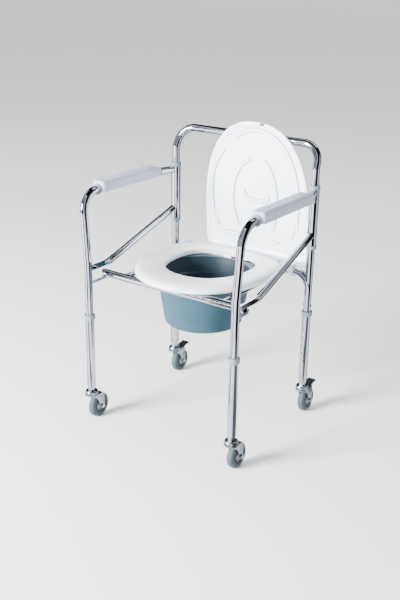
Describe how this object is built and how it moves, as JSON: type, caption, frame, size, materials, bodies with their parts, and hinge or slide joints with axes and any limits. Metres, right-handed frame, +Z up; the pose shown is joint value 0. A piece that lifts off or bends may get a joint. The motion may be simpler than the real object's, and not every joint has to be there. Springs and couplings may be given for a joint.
{
  "type": "commode chair",
  "caption": "Folding commode chair on swivel castors with a tubular frame, telescopic legs, padded arms, lift-up seat, pail and lid.",
  "frame": {"origin": "on the floor, at the middle of the outline seen from above", "axes": "+Z up, the chair faces -Y, +X to the right for someone looking along +Y"},
  "size_m": [0.5658, 0.491, 0.8663],
  "materials": {
    "chromed_steel_tube": "bright chrome plate on drawn steel tube",
    "zinc_plated_steel": "zinc plated steel, semi-bright",
    "pressed_zinc_steel": "pressed steel, bright zinc plated",
    "spring_steel": "nickel plated spring steel",
    "moulded_grey_plastic": "injection moulded, satin",
    "moulded_pale_plastic": "moulded polyurethane skin, satin",
    "moulded_teal_plastic": "injection moulded polypropylene, satin",
    "glossy_white_plastic": "moulded white plastic, polished",
    "soft_rubber": "soft moulded rubber",
    "moulded_hub_plastic": "injection moulded nylon",
    "grey_tread_rubber": "moulded grey rubber, satin"
  },
  "bodies": {
    "rear_frame": {"rear_leg_frame": "chromed_steel_tube", "back_frame": "chromed_steel_tube", "rear_leg_pins": "zinc_plated_steel", "rear_left_button": "spring_steel", "rear_right_button": "spring_steel", "seat_front_tube": "chromed_steel_tube", "seat_rails": "chromed_steel_tube", "pail": "moulded_teal_plastic"},
    "left_side": {"left_side_tube": "chromed_steel_tube", "left_sleeve": "chromed_steel_tube", "left_bushings": "moulded_grey_plastic", "left_diagonal": "chromed_steel_tube", "left_hook": "chromed_steel_tube", "left_arm_pad": "moulded_pale_plastic", "left_pad_screws": "zinc_plated_steel", "front_left_button": "spring_steel"},
    "right_side": {"right_side_tube": "chromed_steel_tube", "right_sleeve": "chromed_steel_tube", "right_bushings": "moulded_grey_plastic", "right_diagonal": "chromed_steel_tube", "right_hook": "chromed_steel_tube", "right_arm_pad": "moulded_pale_plastic", "right_pad_screws": "zinc_plated_steel", "front_right_button": "spring_steel"},
    "seat": {"seat_ring": "glossy_white_plastic", "seat_buffers": "soft_rubber"},
    "lid": {"lid": "glossy_white_plastic"},
    "front_left_lower_leg": {"front_left_leg": "chromed_steel_tube", "front_left_collar": "moulded_grey_plastic", "front_left_stem": "zinc_plated_steel"},
    "front_left_castor_fork": {"front_left_fork": "pressed_zinc_steel", "front_left_axle": "zinc_plated_steel"},
    "front_left_wheel": {"front_left_hub": "moulded_hub_plastic", "front_left_tread": "grey_tread_rubber"},
    "front_right_lower_leg": {"front_right_leg": "chromed_steel_tube", "front_right_collar": "moulded_grey_plastic", "front_right_stem": "zinc_plated_steel"},
    "front_right_castor_fork": {"front_right_fork": "pressed_zinc_steel", "front_right_axle": "zinc_plated_steel"},
    "front_right_wheel": {"front_right_hub": "moulded_hub_plastic", "front_right_tread": "grey_tread_rubber"},
    "rear_left_lower_leg": {"rear_left_leg": "chromed_steel_tube", "rear_left_collar": "moulded_grey_plastic", "rear_left_stem": "zinc_plated_steel"},
    "rear_left_castor_fork": {"rear_left_fork": "pressed_zinc_steel", "rear_left_axle": "zinc_plated_steel"},
    "rear_left_wheel": {"rear_left_hub": "moulded_hub_plastic", "rear_left_tread": "grey_tread_rubber"},
    "rear_left_brake_pedal": {"rear_left_brake": "pressed_zinc_steel"},
    "rear_right_lower_leg": {"rear_right_leg": "chromed_steel_tube", "rear_right_collar": "moulded_grey_plastic", "rear_right_stem": "zinc_plated_steel"},
    "rear_right_castor_fork": {"rear_right_fork": "pressed_zinc_steel", "rear_right_axle": "zinc_plated_steel"},
    "rear_right_wheel": {"rear_right_hub": "moulded_hub_plastic", "rear_right_tread": "grey_tread_rubber"},
    "rear_right_brake_pedal": {"rear_right_brake": "pressed_zinc_steel"}
  },
  "joints": [
    {"name": "left_side_fold", "type": "hinge", "parent": "rear_frame", "child": "left_side", "pos_m": [-0.24, 0.178, 0.62], "axis": [0, 0, 1], "range_deg": [0, 10]},
    {"name": "right_side_fold", "type": "hinge", "parent": "rear_frame", "child": "right_side", "pos_m": [0.24, 0.178, 0.62], "axis": [0, 0, -1], "range_deg": [0, 10]},
    {"name": "seat_raise", "type": "hinge", "parent": "rear_frame", "child": "seat", "pos_m": [0, 0.178, 0.452], "axis": [-1, 0, 0], "range_deg": [0, 80]},
    {"name": "lid_close", "type": "hinge", "parent": "rear_frame", "child": "lid", "pos_m": [0, 0.178, 0.452], "axis": [-1, 0, 0], "range_deg": [-85.5, 0]},
    {"name": "front_left_leg_extend", "type": "slide", "parent": "left_side", "child": "front_left_lower_leg", "axis": [0, 0, -1], "range_m": [0, 0.1016], "deforming": ["front_left_button"]},
    {"name": "front_left_castor_swivel", "type": "hinge", "parent": "front_left_lower_leg", "child": "front_left_castor_fork", "pos_m": [-0.247, -0.228, 0.085], "axis": [0, 0, 1], "continuous": true},
    {"name": "front_left_wheel_roll", "type": "hinge", "parent": "front_left_castor_fork", "child": "front_left_wheel", "pos_m": [-0.247, -0.2, 0.0375], "axis": [1, 0, 0], "continuous": true},
    {"name": "front_right_leg_extend", "type": "slide", "parent": "right_side", "child": "front_right_lower_leg", "axis": [0, 0, -1], "range_m": [0, 0.1016], "deforming": ["front_right_button"]},
    {"name": "front_right_castor_swivel", "type": "hinge", "parent": "front_right_lower_leg", "child": "front_right_castor_fork", "pos_m": [0.247, -0.228, 0.085], "axis": [0, 0, 1], "continuous": true},
    {"name": "front_right_wheel_roll", "type": "hinge", "parent": "front_right_castor_fork", "child": "front_right_wheel", "pos_m": [0.247, -0.2, 0.0375], "axis": [1, 0, 0], "continuous": true},
    {"name": "rear_left_leg_extend", "type": "slide", "parent": "rear_frame", "child": "rear_left_lower_leg", "axis": [0, 0, -1], "range_m": [0, 0.1016], "deforming": ["rear_left_button"]},
    {"name": "rear_left_castor_swivel", "type": "hinge", "parent": "rear_left_lower_leg", "child": "rear_left_castor_fork", "pos_m": [-0.24, 0.178, 0.085], "axis": [0, 0, 1], "continuous": true},
    {"name": "rear_left_wheel_roll", "type": "hinge", "parent": "rear_left_castor_fork", "child": "rear_left_wheel", "pos_m": [-0.24, 0.206, 0.0375], "axis": [1, 0, 0], "continuous": true},
    {"name": "rear_left_brake_press", "type": "hinge", "parent": "rear_left_castor_fork", "child": "rear_left_brake_pedal", "pos_m": [-0.24, 0.208, 0.082], "axis": [-1, 0, 0], "range_deg": [0, 12]},
    {"name": "rear_right_leg_extend", "type": "slide", "parent": "rear_frame", "child": "rear_right_lower_leg", "axis": [0, 0, -1], "range_m": [0, 0.1016], "deforming": ["rear_right_button"]},
    {"name": "rear_right_castor_swivel", "type": "hinge", "parent": "rear_right_lower_leg", "child": "rear_right_castor_fork", "pos_m": [0.24, 0.178, 0.085], "axis": [0, 0, 1], "continuous": true},
    {"name": "rear_right_wheel_roll", "type": "hinge", "parent": "rear_right_castor_fork", "child": "rear_right_wheel", "pos_m": [0.24, 0.206, 0.0375], "axis": [1, 0, 0], "continuous": true},
    {"name": "rear_right_brake_press", "type": "hinge", "parent": "rear_right_castor_fork", "child": "rear_right_brake_pedal", "pos_m": [0.24, 0.208, 0.082], "axis": [-1, 0, 0], "range_deg": [0, 12]}
  ]
}
